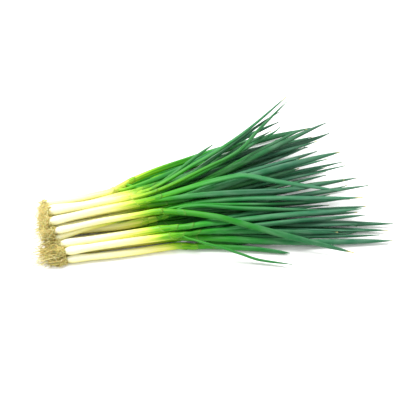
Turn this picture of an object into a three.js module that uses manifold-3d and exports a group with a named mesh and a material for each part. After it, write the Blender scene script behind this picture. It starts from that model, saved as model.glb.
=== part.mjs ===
// A bunch of spring onions lying on a table: white stalks side by side in a low heap, matted roots at one
// end, and tubular green leaves that fan out to pointed tips at the other.
// Millimetres. +X runs from the roots to the leaf tips, +Y to the far side, +Z up; the table is z = 0.
import * as THREE from "three";
import Module from "manifold-3d";

const wasm = await Module();
wasm.setup();

// The middle of the bunch's footprint, measured from the hindmost stalk bases, and the seed of the layout.
const ORIGIN_X = 195.3;
const ORIGIN_Y = 16;
const LAYOUT_SEED = 11;

// The heap of stalks at the root end: plants in each layer, from the table up, and how they differ in size.
const LAYER_COUNTS = [9, 8, 5, 2];
const STALK_PITCH = 11.6;
const HEAP_MIDDLE = 3.5;
const LAYER_RISE = 8.6;
const BASE_WANDER = [3.5, 2.2, 1.2];
const PLANT_SIZE = [0.8, 1.1];
const BULB_RADIUS = 5.2;
const STALK_RADIUS = 4.4;
const PLATE_RADIUS = 3.3;
const BULB_AT = 8;
const STALK_FROM = 30;

// Where the stalks begin and where their leaves part. The stalks on the near side begin and part further
// along, and those past FAR_FROM on the far side part sooner.
const BASE_X = 7;
const BASE_STAGGER = 0.28;
const BASE_STAGGER_FAR = 0.1;
const NECK_X = 107;
const NECK_STAGGER = 0.95;
const NECK_STAGGER_FAR = 0.85;
const FAR_FROM = 24;
const NECK_WANDER = [8, 2.6, 1.5];
const NECK_SPREAD = 1.04;
const NECK_LIFT = 1.12;
const STALK_BOW = [2.6, 0.7];

// The stalks that lie askew, by layer and slot: how far the base is moved across, and the neck along and
// across.
const BASE_SHIFTS = { "0,0": 2.5, "0,1": -2, "0,3": 3, "1,2": -5, "2,0": 5 };
const NECK_SHIFTS = {
  "0,0": [0, 2.5],
  "0,1": [6, -7],
  "0,3": [0, 3],
  "0,4": [0, -6],
  "1,0": [0, -5],
  "1,1": [0, 3],
  "1,2": [-34, 12],
  "2,0": [-4, 7],
  "2,1": [0, 15],
  "2,2": [0, 6],
  "2,4": [0, -4],
};

// The leaves: how many a plant has, their widest half width and how flat they are. The later ones are shorter
// than the leading one, lie nearer the middle of the fan, and a little higher or lower.
const LEAVES_PER_PLANT = 3;
const FORK_STEP = 16;
const LEAD_HALF_WIDTH = 3.8;
const LATER_HALF_WIDTH = 3.1;
const HALF_WIDTH_SPREAD = 0.6;
const LEAF_FLATNESS = 0.76;
const LEAF_TAPER = 7;
const LEAF_TIP_ROUND = 0.75;
const LEAF_START_SHARE = 0.6;
const LEAF_ROLL = 0.9;
const LATER_SHORTER = [10, 58];
const LATER_INWARD = [0.08, 0.42];
const LATER_SIDE = 14;
const FAN_MIDDLE = 8;
const LATER_RISE = 7;
const LOWEST_TIP = 3.5;

// The paths of the leaves that show, as the points [x, y, z] that each passes after its neck. There is a row
// for each plant, near side first, and the last point is the tip. Leaves with no path here lie beside the
// leading one.
const LEAF_PATHS = [
  [
    [[[167, -46, 4.5], [194, -51, 5], [236, -63, 4.5], [280, -79, 3]]],
    [[[170, -47, 8], [250, -67, 5], [404, -93, 4]]],
    [[[403, -77, 5]]],
    [[[411, -65, 6]]],
    [[[386, -30, 8]]],
    [[[372, 10, 8]]],
    [[[354, 45, 7]]],
    [[[150, 66, 6], [349, 92, 12]]],
    [[[103, 62, 5], [120, 71, 6], [144, 77, 7], [164, 84, 8], [248, 103, 9], [328, 114, 8]],
     [[150, 72.5, 7.5], [300, 96, 7]], [[282, 84, 13]]],
  ],
  [
    [[[379, -52, 11]], [[191, -65, 14], [221, -80, 8], [240, -89, 3.2], [278, -105, 2.6]], [[342, -70, 9]]],
    [[[376, -44, 19]]],
    [[[200, -8, 24], [380, -37, 25]]],
    [[[391, -18, 28]], [[365, -5, 28]]],
    [[[382, 1, 30]], [[373, 20, 32]]],
    [[[350, 47, 32]], [[343, 48, 35]]],
    [[[368, 85, 22]], [[349, 70, 25]], [[322, 84, 20]]],
    [[[118, 61, 16], [160, 73, 18], [230, 88, 18], [349, 105, 18]], [[311, 113, 26]]],
  ],
  [
    [[[162, -20, 25], [195, -33, 22], [253, -57, 14], [306, -80, 7], [353, -104, 3.4]],
     [[366, -26, 22]], [[336, -42, 16]]],
    [[[370, 22, 33]]],
    [[[369, 33, 38]]],
    [[[366, 97, 27]], [[340, 88, 31]]],
    [[[199, 47, 44], [240, 68, 47], [276, 95, 45], [326, 138, 42]], [[220, 72, 44]], [[296, 88, 40]]],
  ],
  [
    [[[236, 12, 46], [285, -5, 43], [355, -28, 36]]],
    [[[219, 37, 47], [251, 53, 48], [276, 80, 46], [327, 134, 37]]],
  ],
];

// The leaves that are thinner than the rest, by layer, slot and order, and the share of the usual width.
const THIN_LEAVES = { "1,0,1": 0.9, "2,4,0": 0.8, "2,4,1": 0.85, "3,0,0": 0.85, "3,1,0": 0.76 };

// Settling: strands are compared on planes this far apart, and pushed until they clear each other.
const PLANE_STEP = 8;
const PLANES = 55;
const CLEARANCE = 1.0;
const SAME_PLACE = 1e-6;
const SETTLE_ROUNDS = 1000;
const LOOSE_SHARE = 0.5;
const SAG_A_ROUND = 0.012;
const PINCH_A_ROUND = 0.008;
const PINCH_TO_X = 210;
const LOOSE_EASING = 0.996;
const LOOSE_STIFFNESS = 0.4;
const FIRM_STIFFNESS = 0.12;
const LEAF_LOWEST = 0.85;
const PART_OVER = 90;
const JOIN_OVER = 40;
const NECK_BLEND = 12;
const NECK_ROUND_FOR = 30;

// The roots: a mat for neighbours in one layer, with this many plants in each, and the tuft of each plant.
// Roots are longer on the near side, by this share for each millimetre from the middle.
const MAT_COUNTS = [[2, 2, 2, 3], [2, 2, 2, 2], [2, 3], [2]];
const ROOTS_PER_TUFT = 7;
const ROOT_RADIUS = 0.75;
const ROOT_LENGTH = [12, 20];
const ROOTS_LONGER_NEAR = 0.017;
const ROOT_PARTS = 3;
const ROOT_START = 1.8;
const ROOT_SUNK = 1.2;
const ROOT_REACH = 0.62;
const ROOT_TURN = 0.35;
const TUFT_RADIUS = 4.3;
const TUFT_STUB_RADIUS = 3.2;
const TUFT_STUB_LENGTH = 3.5;
const MAT_BRIDGE_RADIUS = 1.3;

// The faceting.
const STALK_SIDES = 8;
const STALK_RINGS = [0, 3, 8, 18, 32];
const STALK_SPANS = 3;
const LEAF_SIDES = 6;
const TUFT_STUB_SIDES = 6;
const ROOT_SIDES = 3;
const LEAD_RINGS = [0, 0.06, 0.16, 0.28, 0.41, 0.54, 0.67, 0.8, 0.91, 0.97];
const LATER_RINGS = [0, 0.15, 0.3, 0.45, 0.6, 0.75, 0.88, 0.96];
const JOINT_GAP = 0.35;
const REST_SNAP = 0.25;
const LOWEST_POINT = 0.4;

const seeded = (seed) => {
  let state = seed >>> 0;
  return () => {
    state = (state + 0x6d2b79f5) >>> 0;
    let t = Math.imul(state ^ (state >>> 15), state | 1);
    t = (t + Math.imul(t ^ (t >>> 7), t | 61)) ^ t;
    return ((t ^ (t >>> 14)) >>> 0) / 4294967296;
  };
};
const random = seeded(LAYOUT_SEED);
const spread = (size) => size * (2 * random() - 1);
const between = ([low, high]) => low + (high - low) * random();
const clamp = (v, low, high) => Math.min(Math.max(v, low), high);
const mix = (a, b, t) => a + (b - a) * t;
const smooth = (t) => {
  const s = clamp(t, 0, 1);
  return s * s * (3 - 2 * s);
};

// The plants, each with its base and its neck.
function layPlants() {
  const plants = [];
  LAYER_COUNTS.forEach((count, layer) => {
    for (let slot = 0; slot < count; slot++) {
      const place = `${layer},${slot}`;
      const [shiftX, shiftY] = NECK_SHIFTS[place] || [0, 0];
      const y = HEAP_MIDDLE + (slot - (count - 1) / 2) * STALK_PITCH;
      const z = BULB_RADIUS + layer * LAYER_RISE;
      const near = Math.max(0, -y);
      const far = Math.max(0, y - FAR_FROM);
      const size = between(PLANT_SIZE);
      const rootShare = 1 + ROOTS_LONGER_NEAR * near;
      const base = {
        x: BASE_X + BASE_STAGGER * near + BASE_STAGGER_FAR * far + spread(BASE_WANDER[0]),
        y: y + (BASE_SHIFTS[place] || 0) + spread(BASE_WANDER[1]),
        z: z + spread(BASE_WANDER[2]),
      };
      const neck = {
        x: NECK_X + NECK_STAGGER * near - NECK_STAGGER_FAR * far + shiftX + spread(NECK_WANDER[0]),
        y: y * NECK_SPREAD + shiftY + spread(NECK_WANDER[1]),
        z: layer ? z * NECK_LIFT + spread(NECK_WANDER[2]) : STALK_RADIUS,
      };
      const bow = STALK_BOW.map(spread);
      const paths = LEAF_PATHS[layer][slot];
      plants.push({ place, paths, size, rootShare, base, neck, bow, leaves: [] });
    }
  });
  return plants;
}

// Gives each plant its leaves. The leading leaf carries on from the stalk; the others part from it in turn.
function growLeaves(plants) {
  for (const plant of plants) {
    const { base, neck, paths } = plant;
    const lead = paths[0][paths[0].length - 1];
    const slope = [(neck.y - base.y) / (neck.x - base.x), (neck.z - base.z) / (neck.x - base.x)];
    for (let j = 0; j < LEAVES_PER_PLANT; j++) {
      const beside = [
        lead[0] - between(LATER_SHORTER),
        mix(lead[1], FAN_MIDDLE, between(LATER_INWARD)) + spread(LATER_SIDE),
        Math.max(LOWEST_TIP, lead[2] + spread(LATER_RISE)),
      ];
      const path = paths[j] || [beside];
      const points = [[neck.x, neck.y, neck.z], ...path];
      const usual = (j === 0 ? LEAD_HALF_WIDTH : LATER_HALF_WIDTH) + spread(HALF_WIDTH_SPREAD);
      const halfWidth = usual * (THIN_LEAVES[`${plant.place},${j}`] || 1);
      const roll = spread(LEAF_ROLL);
      const fork = neck.x + FORK_STEP * j;
      plant.leaves.push({ points, slope, halfWidth, roll, fork, tipX: points[points.length - 1][0] });
    }
  }
}

// A curve through points as y and z over x: each stretch is a cubic, and its end slopes are its neighbours'.
function through(points, firstSlope) {
  const n = points.length;
  const slopes = points.map((_, i) => {
    if (i === 0) return firstSlope;
    const a = points[i - 1];
    const b = points[Math.min(i + 1, n - 1)];
    return [(b[1] - a[1]) / (b[0] - a[0]), (b[2] - a[2]) / (b[0] - a[0])];
  });
  return (x) => {
    let i = 0;
    while (i < n - 2 && x > points[i + 1][0]) i++;
    const [a, b] = [points[i], points[i + 1]];
    const h = b[0] - a[0];
    const t = (x - a[0]) / h;
    return [1, 2].map((k) => {
      const c = 3 * (b[k] - a[k]) - h * (2 * slopes[i][k - 1] + slopes[i + 1][k - 1]);
      const d = 2 * (a[k] - b[k]) + h * (slopes[i][k - 1] + slopes[i + 1][k - 1]);
      return a[k] + t * (h * slopes[i][k - 1] + t * (c + t * d));
    });
  };
}

// A stalk's radius, by the distance from its base: the root plate, the slight bulb, then the straight stalk.
function stalkRadius(plant, along) {
  const swelling = Math.sin((clamp(along / BULB_AT, 0, 1) * Math.PI) / 2);
  const straight = smooth((along - BULB_AT) / (STALK_FROM - BULB_AT));
  const bulb = mix(PLATE_RADIUS, BULB_RADIUS, swelling);
  const stem = mix(BULB_RADIUS, STALK_RADIUS, straight);
  return plant.size * (along < BULB_AT ? bulb : stem);
}

// Half the width of a leaf, from 0 at its neck to 1 at its tip: it keeps its width, then tapers to a point.
const leafHalfWidth = (leaf, t) => leaf.halfWidth * (1 - clamp(t, 0, 1) ** LEAF_TAPER) ** LEAF_TIP_ROUND;

// A strand is what settles: the stalk with its leading leaf is one, and each other leaf is one that hangs
// on it.
function makeStrands(plants) {
  const strands = [];
  plants.forEach((plant, owner) => {
    plant.leaves.forEach((leaf, j) => {
      const curve = through(leaf.points, leaf.slope);
      const { base, neck, bow } = plant;
      const trunk = j === 0 ? null : strands[strands.length - j];
      const from = trunk ? leaf.fork : base.x;
      const strand = { owner, plant, leaf, trunk, from, at: [], move: [], radius: [] };
      for (let k = 0; k < PLANES; k++) {
        const x = k * PLANE_STEP;
        const past = x - neck.x;
        const leafy = leafHalfWidth(leaf, past / (leaf.tipX - neck.x));
        const up = clamp(past / (base.x - neck.x), 0, 1);
        const bent = bow.map((size) => size * Math.sin(Math.PI * up) ** 2);
        const inStalk = [neck.y + leaf.slope[0] * past + bent[0], neck.z + leaf.slope[1] * past + bent[1]];
        const stalky = stalkRadius(plant, x - base.x);
        strand.at.push(past < 0 ? inStalk : curve(x));
        strand.move.push([0, 0]);
        strand.radius.push(trunk ? leafy : mix(stalky, leafy, smooth(past / NECK_BLEND)));
      }
      strand.first = Math.max(0, Math.ceil(from / PLANE_STEP));
      strand.last = Math.min(PLANES - 1, Math.floor(leaf.tipX / PLANE_STEP));
      strands.push(strand);
    });
  });
  for (const s of strands)
    s.radius = s.radius.map((radius, k) => {
      const a = s.at[Math.max(k - 1, 0)];
      const b = s.at[Math.min(k + 1, PLANES - 1)];
      const steep = Math.hypot(b[0] - a[0], b[1] - a[1]) / (2 * PLANE_STEP);
      return radius * Math.sqrt(1 + steep * steep);
    });
  return strands;
}

// The pushes of one round: for each strand and plane, the sum of what its neighbours ask and how many ask.
function findPushes(strands) {
  const push = strands.map((s) => s.move.map(() => [0, 0, 0]));
  for (let a = 0; a < strands.length; a++)
    for (let b = a + 1; b < strands.length; b++) {
      const [s, t] = [strands[a], strands[b]];
      const kin = s.owner === t.owner;
      const fork = Math.max(s.from, t.from);
      for (let k = Math.max(s.first, t.first); k <= Math.min(s.last, t.last); k++) {
        const dy = s.at[k][0] + s.move[k][0] - t.at[k][0] - t.move[k][0];
        const dz = s.at[k][1] + s.move[k][1] - t.at[k][1] - t.move[k][1];
        const parted = kin ? smooth((k * PLANE_STEP - fork) / PART_OVER) : 1;
        const need = (s.radius[k] + t.radius[k] + CLEARANCE) * parted;
        const gap = Math.hypot(dy, dz);
        if (gap >= need) continue;
        const half = (need - gap) / 2;
        const [uy, uz] = gap > SAME_PLACE ? [dy / gap, dz / gap] : [a % 2 ? 1 : -1, 0];
        push[a][k][0] += uy * half;
        push[a][k][1] += uz * half;
        push[a][k][2] += 1;
        push[b][k][0] -= uy * half;
        push[b][k][1] -= uz * half;
        push[b][k][2] += 1;
      }
    }
  return push;
}

// Pushes the strands apart plane by plane, keeping each one's bend smooth, until they clear each other.
function settle(strands) {
  for (let round = 0; round < SETTLE_ROUNDS; round++) {
    const push = findPushes(strands);
    const loose = round < SETTLE_ROUNDS * LOOSE_SHARE;
    const easing = loose ? LOOSE_EASING : 1;
    const stiffness = loose ? LOOSE_STIFFNESS : FIRM_STIFFNESS;
    strands.forEach((s, i) => {
      for (let k = s.first; k <= s.last; k++) {
        const asked = Math.max(1, Math.sqrt(push[i][k][2]));
        s.move[k] = [0, 1].map((c) => (s.move[k][c] + push[i][k][c] / asked) * easing);
        if (loose) s.move[k][1] -= SAG_A_ROUND;
        if (loose && k * PLANE_STEP < PINCH_TO_X && s.at[k][0] < 0) s.move[k][0] += PINCH_A_ROUND;
      }
      for (let pass = 0; pass < 2; pass++) {
        const old = s.move.map((m) => [m[0], m[1]]);
        for (let k = s.first; k <= s.last; k++) {
          const p = old[Math.max(k - 1, s.first)];
          const q = old[Math.min(k + 1, s.last)];
          s.move[k] = [0, 1].map((c) => mix(old[k][c], (p[c] + q[c]) / 2, stiffness));
        }
      }
      for (let k = s.first; k <= s.last; k++) {
        if (s.trunk) {
          const free = smooth((k * PLANE_STEP - s.from) / JOIN_OVER);
          s.move[k] = [0, 1].map((c) => mix(s.trunk.move[k][c], s.move[k][c], free));
        }
        const inStalk = k * PLANE_STEP < s.plant.neck.x;
        const lowest = s.radius[k] * (inStalk ? Math.cos(Math.PI / STALK_SIDES) : LEAF_LOWEST);
        const z = s.at[k][1] + s.move[k][1];
        if (z < lowest) s.move[k][1] += lowest - z;
      }
    });
  }
}

// Where a settled strand is at any x: the planes' places, joined by smooth cubics.
function placeOf(strand, x) {
  const { first, last } = strand;
  const u = clamp(x / PLANE_STEP, 0, PLANES - 1.001);
  const k = Math.floor(u);
  const t = u - k;
  const spot = (i, c) => {
    const j = clamp(i, 0, PLANES - 1);
    const m = clamp(i, first, last);
    return strand.at[j][c] + strand.move[m][c];
  };
  const [y, z] = [0, 1].map((c) => {
    const [p, q, r, s] = [spot(k - 1, c), spot(k, c), spot(k + 1, c), spot(k + 2, c)];
    return q + 0.5 * t * (r - p + t * (2 * p - 5 * q + 4 * r - s + t * (3 * (q - r) + s - p)));
  });
  return new THREE.Vector3(x, y, z);
}

// The sideways and upward directions of a cut square to the path.
function cutAt(place, x) {
  const along = place(x + 1).sub(place(x - 1)).normalize();
  const side = new THREE.Vector3(-along.y, along.x, 0).normalize();
  const up = new THREE.Vector3().crossVectors(along, side);
  return { side, up };
}

// A closed tube from rings of corners, with flat ends, or with a point at either end where a tip is given.
function tube(rings, tip, firstTip) {
  const sides = rings[0].length;
  const points = rings.flat();
  const triangles = [];
  for (let k = 0; k + 1 < rings.length; k++)
    for (let i = 0; i < sides; i++) {
      const a = k * sides + i;
      const b = k * sides + ((i + 1) % sides);
      triangles.push([a, b, b + sides], [a, b + sides, a + sides]);
    }
  const close = (first, point, turned) => {
    const face = (a, b, c) => triangles.push(turned ? [a, c, b] : [a, b, c]);
    if (point) points.push(point);
    for (let i = 0; point && i < sides; i++) face(first + i, first + ((i + 1) % sides), points.length - 1);
    for (let i = 1; !point && i + 1 < sides; i++) face(first, first + i, first + i + 1);
  };
  close(0, firstTip, true);
  close((rings.length - 1) * sides, tip, false);
  return { points, triangles };
}

const solid = ({ points, triangles }) => new wasm.Manifold(new wasm.Mesh({
  numProp: 3,
  vertProperties: new Float32Array(points.flatMap((p) => [p.x, p.y, p.z])),
  triVerts: new Uint32Array(triangles.flat()),
}));

const fuse = (tubes) => wasm.Manifold.union(tubes.map(solid)).getMesh();

// One ring of corners round a place: an oval, flat side down, turned by roll. No corner goes below the table.
function ring(centre, cut, halfWidth, halfDepth, roll, sides, snap = 0) {
  const corners = [];
  for (let i = 0; i < sides; i++) {
    const angle = ((i + 0.5) / sides) * 2 * Math.PI;
    const across = halfWidth * Math.cos(angle);
    const deep = halfDepth * Math.sin(angle);
    const corner = centre.clone();
    corner.addScaledVector(cut.side, across * Math.cos(roll) - deep * Math.sin(roll));
    corner.addScaledVector(cut.up, across * Math.sin(roll) + deep * Math.cos(roll));
    if (corner.z < snap) corner.z = 0;
    corners.push(corner);
  }
  return corners;
}

// The directions of a cut square to X, as at the root plates.
const SQUARE = { side: new THREE.Vector3(0, 1, 0), up: new THREE.Vector3(0, 0, 1) };

// A white stalk, from its root plate to its neck.
function stalkTube(plant, trunk) {
  const place = (x) => placeOf(trunk, x);
  const length = plant.neck.x - JOINT_GAP - plant.base.x;
  const marks = [...STALK_RINGS];
  for (let i = 1; i <= STALK_SPANS; i++) marks.push(mix(STALK_RINGS.at(-1), length, i / STALK_SPANS));
  const rings = marks.map((along) => {
    const x = plant.base.x + along;
    const radius = stalkRadius(plant, along);
    const cut = along > 0 ? cutAt(place, x) : SQUARE;
    return ring(place(x), cut, radius, radius, 0, STALK_SIDES, REST_SNAP);
  });
  return tube(rings);
}

// One leaf, from its neck, or from inside the leaf that it parts from, to its pointed tip.
function leafTube(plant, strand) {
  const { leaf, trunk } = strand;
  const from = trunk ? leaf.fork - FORK_STEP : plant.neck.x + JOINT_GAP;
  const place = (x) => placeOf(trunk && x < leaf.fork ? trunk : strand, x);
  const rings = (trunk ? LATER_RINGS : LEAD_RINGS).map((t) => {
    const x = mix(from, leaf.tipX, t);
    const grown = trunk ? mix(LEAF_START_SHARE, 1, smooth((x - leaf.fork) / JOIN_OVER)) : 1;
    const neck = trunk ? 0 : 1 - smooth((x - plant.neck.x) / NECK_ROUND_FOR);
    const halfWidth = leafHalfWidth(leaf, (x - plant.neck.x) / (leaf.tipX - plant.neck.x)) * grown;
    const wide = mix(halfWidth, STALK_RADIUS * plant.size, neck);
    const deep = mix(halfWidth * LEAF_FLATNESS, STALK_RADIUS * plant.size, neck);
    return ring(place(x), cutAt(place, x), wide, deep, leaf.roll * (1 - neck), LEAF_SIDES);
  });
  const tip = place(leaf.tipX);
  tip.z = Math.max(tip.z, LOWEST_POINT);
  return tube(rings, tip);
}

// The tuft of roots of one plant: a short stub under the root plate, and roots that spread and curl from it.
// The stubs of one mat all end at the same depth, crownX.
function tuftTubes(plant, trunk, crownX) {
  const centre = placeOf(trunk, plant.base.x);
  const spotAt = (x, across, deep) => new THREE.Vector3(x, centre.y + across, centre.z + deep);
  const stubRadius = TUFT_STUB_RADIUS * plant.size;
  const stubEnd = (x) => ring(spotAt(x, 0, 0), SQUARE, stubRadius, stubRadius, 0, TUFT_STUB_SIDES);
  const tubes = [tube([stubEnd(crownX), stubEnd(plant.base.x - JOINT_GAP)])];
  for (let i = 0; i < ROOTS_PER_TUFT; i++) {
    const angle = ((i + 0.5 * random()) / ROOTS_PER_TUFT) * 2 * Math.PI;
    const length = between(ROOT_LENGTH) * plant.rootShare;
    const reach = TUFT_RADIUS * plant.size * mix(ROOT_REACH, 1, random()) - ROOT_RADIUS;
    const turn = spread(ROOT_TURN);
    const from = crownX + ROOT_SUNK;
    const spotOf = (t) => {
      const away = mix(ROOT_START, reach, smooth((length * t - ROOT_SUNK) / (length - ROOT_SUNK)));
      const here = angle + turn * t;
      return spotAt(from - length * t, away * Math.cos(here), away * Math.sin(here));
    };
    const rings = [];
    for (let k = ROOT_PARTS - 1; k >= 0; k--)
      rings.push(ring(spotOf(k / ROOT_PARTS), SQUARE, ROOT_RADIUS, ROOT_RADIUS, angle, ROOT_SIDES));
    tubes.push(tube(rings, null, spotOf(1)));
  }
  return tubes;
}

// A bar of root crown between two neighbours' stubs, which makes their roots one mat.
function bridgeTube(a, b, crownX) {
  const level = { side: new THREE.Vector3(-1, 0, 0), up: new THREE.Vector3(0, 0, 1) };
  const end = (trunk) => {
    const spot = placeOf(trunk, trunk.plant.base.x);
    spot.x = crownX + MAT_BRIDGE_RADIUS + JOINT_GAP;
    return ring(spot, level, MAT_BRIDGE_RADIUS, MAT_BRIDGE_RADIUS, 0, TUFT_STUB_SIDES);
  };
  return tube([end(a), end(b)]);
}

const MATERIALS = {
  stalk: new THREE.MeshStandardMaterial({ color: 0xe8e9cf, roughness: 0.45, metalness: 0 }),
  leaf: new THREE.MeshStandardMaterial({ color: 0x4d7d43, roughness: 0.5, metalness: 0 }),
  root: new THREE.MeshStandardMaterial({ color: 0xb99f6e, roughness: 0.9, metalness: 0 }),
};

// A named mesh from points in the bunch's frame, placed at an anchor of its own.
function meshOf(name, points, triangles, anchor, material) {
  const geometry = new THREE.BufferGeometry();
  const local = points.flatMap((p) => [p.x - anchor.x, p.y - anchor.y, p.z - anchor.z]);
  geometry.setAttribute("position", new THREE.Float32BufferAttribute(local, 3));
  geometry.setIndex(triangles.flat());
  geometry.computeVertexNormals();
  const mesh = new THREE.Mesh(geometry, material);
  mesh.name = name;
  return mesh;
}

function fusedMesh(name, tubes, anchor, material) {
  const { vertProperties, triVerts, numProp } = fuse(tubes);
  const points = [];
  for (let i = 0; i < vertProperties.length; i += numProp)
    points.push(new THREE.Vector3(vertProperties[i], vertProperties[i + 1], vertProperties[i + 2]));
  return meshOf(name, points, [Array.from(triVerts)], anchor, material);
}

const twoDigits = (n) => String(n).padStart(2, "0");

function buildBunch() {
  const plants = layPlants();
  growLeaves(plants);
  const strands = makeStrands(plants);
  settle(strands);

  const bunch = new THREE.Group();
  bunch.position.set(-ORIGIN_X, -ORIGIN_Y, 0);
  plants.forEach((plant, i) => {
    const own = strands.filter((s) => s.plant === plant);
    const onion = new THREE.Group();
    const anchor = placeOf(own[0], plant.base.x);
    onion.position.copy(anchor);
    const stalk = stalkTube(plant, own[0]);
    onion.add(meshOf(`stalk_${twoDigits(i + 1)}`, stalk.points, stalk.triangles, anchor, MATERIALS.stalk));
    const leaves = own.map((s) => leafTube(plant, s));
    onion.add(fusedMesh(`leaves_${twoDigits(i + 1)}`, leaves, anchor, MATERIALS.leaf));
    bunch.add(onion);
  });

  let next = 0;
  MAT_COUNTS.flat().forEach((count, i) => {
    const trunks = plants.slice(next, next + count).map((p) => strands.find((s) => s.plant === p));
    const crownX = Math.min(...trunks.map((s) => s.plant.base.x)) - JOINT_GAP - TUFT_STUB_LENGTH;
    const tubes = trunks.flatMap((s) => tuftTubes(s.plant, s, crownX));
    for (let k = 0; k + 1 < count; k++) tubes.push(bridgeTube(trunks[k], trunks[k + 1], crownX));
    const anchor = placeOf(trunks[0], trunks[0].plant.base.x);
    const mat = new THREE.Group();
    mat.position.copy(anchor);
    mat.add(fusedMesh(`root_mat_${twoDigits(i + 1)}`, tubes, anchor, MATERIALS.root));
    bunch.add(mat);
    next += count;
  });
  return bunch;
}

export default buildBunch();
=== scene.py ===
import math

import bpy
import numpy as np
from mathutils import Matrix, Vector


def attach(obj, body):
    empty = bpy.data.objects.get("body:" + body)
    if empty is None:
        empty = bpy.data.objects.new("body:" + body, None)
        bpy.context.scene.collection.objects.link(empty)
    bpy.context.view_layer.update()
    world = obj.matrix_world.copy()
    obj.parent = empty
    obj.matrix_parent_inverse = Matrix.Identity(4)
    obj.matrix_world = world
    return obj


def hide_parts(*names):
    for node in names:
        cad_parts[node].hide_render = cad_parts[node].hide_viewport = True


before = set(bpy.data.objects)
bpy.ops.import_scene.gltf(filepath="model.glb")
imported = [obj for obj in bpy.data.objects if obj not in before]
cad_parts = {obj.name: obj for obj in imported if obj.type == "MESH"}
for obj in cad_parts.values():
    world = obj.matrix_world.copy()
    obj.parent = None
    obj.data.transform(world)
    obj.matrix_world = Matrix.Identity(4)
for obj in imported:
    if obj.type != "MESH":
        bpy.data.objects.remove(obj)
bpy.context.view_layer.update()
MM = 0.001

# The layout in millimetres, with the values that the frame was laid out from. +X runs from the roots to the
# leaf tips, +Y to the far side, +Z up. First the middle of the footprint, and the seed of the layout.
ORIGIN_X = 195.3
ORIGIN_Y = 16
LAYOUT_SEED = 11

# The heap of stalks at the root end: plants in each layer, from the table up, and how they differ in size.
LAYER_COUNTS = [9, 8, 5, 2]
STALK_PITCH = 11.6
HEAP_MIDDLE = 3.5
LAYER_RISE = 8.6
BASE_WANDER = [3.5, 2.2, 1.2]
PLANT_SIZE = [0.8, 1.1]
BULB_RADIUS = 5.2
STALK_RADIUS = 4.4
PLATE_RADIUS = 3.3
BULB_AT = 8
STALK_FROM = 30

# Where the stalks begin and where their leaves part. The stalks on the near side begin and part further
# along, and those past FAR_FROM on the far side part sooner.
BASE_X = 7
BASE_STAGGER = 0.28
BASE_STAGGER_FAR = 0.1
NECK_X = 107
NECK_STAGGER = 0.95
NECK_STAGGER_FAR = 0.85
FAR_FROM = 24
NECK_WANDER = [8, 2.6, 1.5]
NECK_SPREAD = 1.04
NECK_LIFT = 1.12
STALK_BOW = [2.6, 0.7]

# The stalks that lie askew, by layer and slot: how far the base is moved across, and the neck along and
# across.
BASE_SHIFTS = {(0, 0): 2.5, (0, 1): -2, (0, 3): 3, (1, 2): -5, (2, 0): 5}
NECK_SHIFTS = {
    (0, 0): [0, 2.5],
    (0, 1): [6, -7],
    (0, 3): [0, 3],
    (0, 4): [0, -6],
    (1, 0): [0, -5],
    (1, 1): [0, 3],
    (1, 2): [-34, 12],
    (2, 0): [-4, 7],
    (2, 1): [0, 15],
    (2, 2): [0, 6],
    (2, 4): [0, -4],
}

# The leaves: how many a plant has, their widest half width and how flat they are. The later ones are shorter
# than the leading one, lie nearer the middle of the fan, and a little higher or lower.
LEAVES_PER_PLANT = 3
FORK_STEP = 16
LEAD_HALF_WIDTH = 3.8
LATER_HALF_WIDTH = 3.1
HALF_WIDTH_SPREAD = 0.6
LEAF_FLATNESS = 0.76
LEAF_TAPER = 7
LEAF_TIP_ROUND = 0.75
LEAF_START_SHARE = 0.6
LEAF_ROLL = 0.9
LATER_SHORTER = [10, 58]
LATER_INWARD = [0.08, 0.42]
LATER_SIDE = 14
FAN_MIDDLE = 8
LATER_RISE = 7
LOWEST_TIP = 3.5

# The paths of the leaves that show, as the points [x, y, z] that each passes after its neck. There is a row
# for each plant, near side first, and the last point is the tip. Leaves with no path here lie beside the
# leading one.
LEAF_PATHS = [
    [
        [[[167, -46, 4.5], [194, -51, 5], [236, -63, 4.5], [280, -79, 3]]],
        [[[170, -47, 8], [250, -67, 5], [404, -93, 4]]],
        [[[403, -77, 5]]],
        [[[411, -65, 6]]],
        [[[386, -30, 8]]],
        [[[372, 10, 8]]],
        [[[354, 45, 7]]],
        [[[150, 66, 6], [349, 92, 12]]],
        [[[103, 62, 5], [120, 71, 6], [144, 77, 7], [164, 84, 8], [248, 103, 9], [328, 114, 8]],
         [[150, 72.5, 7.5], [300, 96, 7]], [[282, 84, 13]]],
    ],
    [
        [[[379, -52, 11]], [[191, -65, 14], [221, -80, 8], [240, -89, 3.2], [278, -105, 2.6]],
         [[342, -70, 9]]],
        [[[376, -44, 19]]],
        [[[200, -8, 24], [380, -37, 25]]],
        [[[391, -18, 28]], [[365, -5, 28]]],
        [[[382, 1, 30]], [[373, 20, 32]]],
        [[[350, 47, 32]], [[343, 48, 35]]],
        [[[368, 85, 22]], [[349, 70, 25]], [[322, 84, 20]]],
        [[[118, 61, 16], [160, 73, 18], [230, 88, 18], [349, 105, 18]], [[311, 113, 26]]],
    ],
    [
        [[[162, -20, 25], [195, -33, 22], [253, -57, 14], [306, -80, 7], [353, -104, 3.4]],
         [[366, -26, 22]], [[336, -42, 16]]],
        [[[370, 22, 33]]],
        [[[369, 33, 38]]],
        [[[366, 97, 27]], [[340, 88, 31]]],
        [[[199, 47, 44], [240, 68, 47], [276, 95, 45], [326, 138, 42]], [[220, 72, 44]], [[296, 88, 40]]],
    ],
    [
        [[[236, 12, 46], [285, -5, 43], [355, -28, 36]]],
        [[[219, 37, 47], [251, 53, 48], [276, 80, 46], [327, 134, 37]]],
    ],
]

# The leaves that are thinner than the rest, by layer, slot and order, and the share of the usual width.
THIN_LEAVES = {(1, 0, 1): 0.9, (2, 4, 0): 0.8, (2, 4, 1): 0.85, (3, 0, 0): 0.85, (3, 1, 0): 0.76}

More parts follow.
